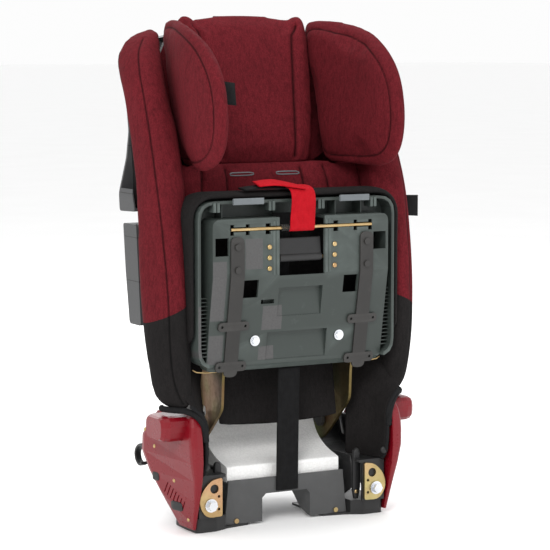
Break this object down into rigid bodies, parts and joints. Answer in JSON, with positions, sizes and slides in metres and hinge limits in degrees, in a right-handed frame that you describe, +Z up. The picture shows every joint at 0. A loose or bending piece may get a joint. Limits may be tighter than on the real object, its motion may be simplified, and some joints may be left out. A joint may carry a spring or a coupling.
{
  "type": "convertible car seat",
  "caption": "Folding child car seat stored folded: seat pan swung up on steel arms against a padded back with a sliding winged headrest.",
  "frame": {"origin": "on the floor, in the middle of the seat's footprint box", "axes": "+Z up, +X to the right of a viewer who faces the seat's front, +Y from the front to the back"},
  "size_m": [0.4236, 0.2848, 0.722],
  "materials": {
    "red_fabric": "woven, heathered maroon",
    "black_fabric": "woven, matt",
    "red_gloss": "glossy moulded",
    "pan_plastic": "fine-textured, satin",
    "shell_plastic": "fine-textured",
    "base_plastic": "fine-textured",
    "dark_plastic": "satin",
    "white_foam": "moulded bead foam",
    "zinc_steel": "yellow zinc passivated",
    "bright_steel": "bright zinc",
    "dark_steel": "black painted",
    "pale_plastic": "satin",
    "red_webbing": "woven webbing",
    "black_webbing": "woven webbing"
  },
  "bodies": {
    "back": {"base_tray": "base_plastic", "foot_left": "dark_plastic", "foot_right": "dark_plastic", "hinge_plate_left": "zinc_steel", "hinge_plate_right": "zinc_steel", "stop_bolt_left": "bright_steel", "stop_bolt_right": "bright_steel", "plate_screw_left": "zinc_steel", "plate_screw_right": "zinc_steel", "hinge_housing_left": "dark_plastic", "hinge_housing_right": "dark_plastic", "pivot_pin_left": "dark_steel", "pivot_pin_right": "dark_steel", "foam_block": "white_foam", "side_cover_left": "red_gloss", "side_cover_right": "red_gloss", "belt_hook_left": "dark_plastic", "belt_hook_right": "dark_plastic", "frame_rail_left": "dark_steel", "frame_rail_right": "dark_steel", "frame_crossbar": "dark_steel", "back_shell_upper": "shell_plastic", "back_shell_lower": "shell_plastic", "rear_base_shell": "shell_plastic", "back_pad": "red_fabric", "lower_flap": "black_fabric", "wing_left": "red_fabric", "wing_right": "red_fabric", "wing_lower_left": "black_fabric", "wing_lower_right": "black_fabric", "skirt_left": "black_fabric", "skirt_right": "black_fabric", "guide_rail_left": "dark_steel", "guide_rail_right": "dark_steel", "adjuster_strap": "black_webbing"},
    "headrest": {"headrest_shell": "dark_plastic", "headrest_pad": "red_fabric", "headrest_wing_left": "red_fabric", "headrest_wing_right": "red_fabric"},
    "headrest_release": {"headrest_release": "dark_plastic"},
    "seat": {"seat_pan": "pan_plastic", "arm_left": "zinc_steel", "arm_right": "zinc_steel", "strip_left": "dark_steel", "strip_right": "dark_steel", "strip_screw_upper_left": "dark_steel", "strip_screw_upper_right": "dark_steel", "strip_screw_lower_left": "dark_steel", "strip_screw_lower_right": "dark_steel", "pan_bolt_left": "bright_steel", "pan_bolt_right": "bright_steel", "clamp_bar_left": "pale_plastic", "clamp_bar_right": "pale_plastic", "long_rod": "zinc_steel", "short_rod": "zinc_steel", "seat_cushion": "black_fabric", "fold_strap": "red_webbing", "lever_spring": "dark_steel"},
    "adjuster": {"adjuster_lever": "dark_plastic"}
  },
  "joints": [
    {"name": "seat_fold", "type": "hinge", "parent": "back", "child": "seat", "pos_m": [0, 0.0176, 0.1297], "axis": [1, 0, 0], "range_deg": [0, 78], "deforming": ["adjuster_strap"]},
    {"name": "headrest_slide", "type": "slide", "parent": "back", "child": "headrest", "axis": [0, 0.2924, 0.9563], "range_m": [0, 0.12]},
    {"name": "headrest_release_pull", "type": "slide", "parent": "headrest", "child": "headrest_release", "axis": [0, 0.2924, 0.9563], "range_m": [0, 0.008], "stiffness_N_per_m": 400},
    {"name": "adjuster_press", "type": "hinge", "parent": "seat", "child": "adjuster", "pos_m": [0, -0.1, 0.384], "axis": [1, 0, 0], "range_deg": [-18, 0], "stiffness_Nm_per_rad": 0.3}
  ]
}
